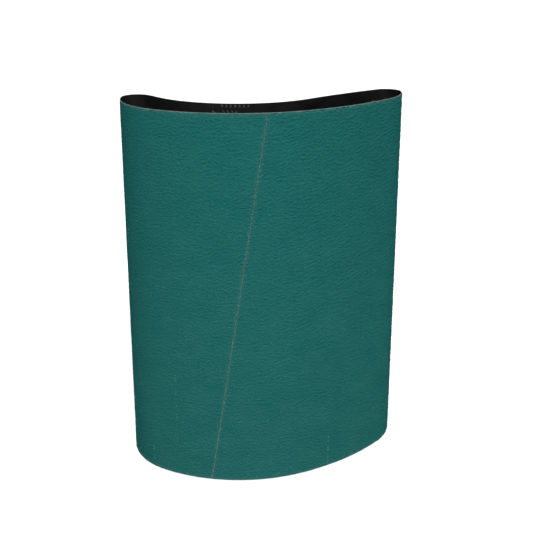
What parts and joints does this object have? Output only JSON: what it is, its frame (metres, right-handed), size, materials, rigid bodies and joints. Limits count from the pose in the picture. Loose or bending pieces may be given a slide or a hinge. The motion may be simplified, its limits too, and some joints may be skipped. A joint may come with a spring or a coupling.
{
  "type": "sanding belt",
  "caption": "Endless wide abrasive belt of coated cloth with a slanted taped butt splice, standing slack on one cut edge in a crescent.",
  "frame": {"origin": "middle of the loop's footprint, on the surface that the cut edge stands on", "axes": "+Z across the belt's width, from the edge it stands on to the top edge; the bowed wall with the splice faces -Y"},
  "size_m": [0.4708, 0.2354, 0.635],
  "materials": {
    "back_coat": "black antistatic resin over woven cloth, matt",
    "backing_cloth": "woven polyester cloth, impregnated, matt",
    "make_coat": "cured resin, dull",
    "abrasive_grain": "crushed ceramic grain bound in resin, rough",
    "size_coat": "blue-green resin coat over the grain, rough and dull",
    "seam_filler": "cured joint adhesive with cloth dust, dull",
    "splice_adhesive": "cured polyurethane adhesive, satin",
    "splice_tape": "dark polyester film with reinforcing threads, satin",
    "run_arrows": "thin pale printing ink, worn, matt"
  },
  "bodies": {
    "root": {"back_coat": "back_coat", "backing_cloth": "backing_cloth", "make_coat": "make_coat", "abrasive_grain": "abrasive_grain", "size_coat": "size_coat", "seam_filler": "seam_filler", "splice_adhesive": "splice_adhesive", "splice_tape": "splice_tape", "run_arrows": "run_arrows"}
  },
  "joints": []
}
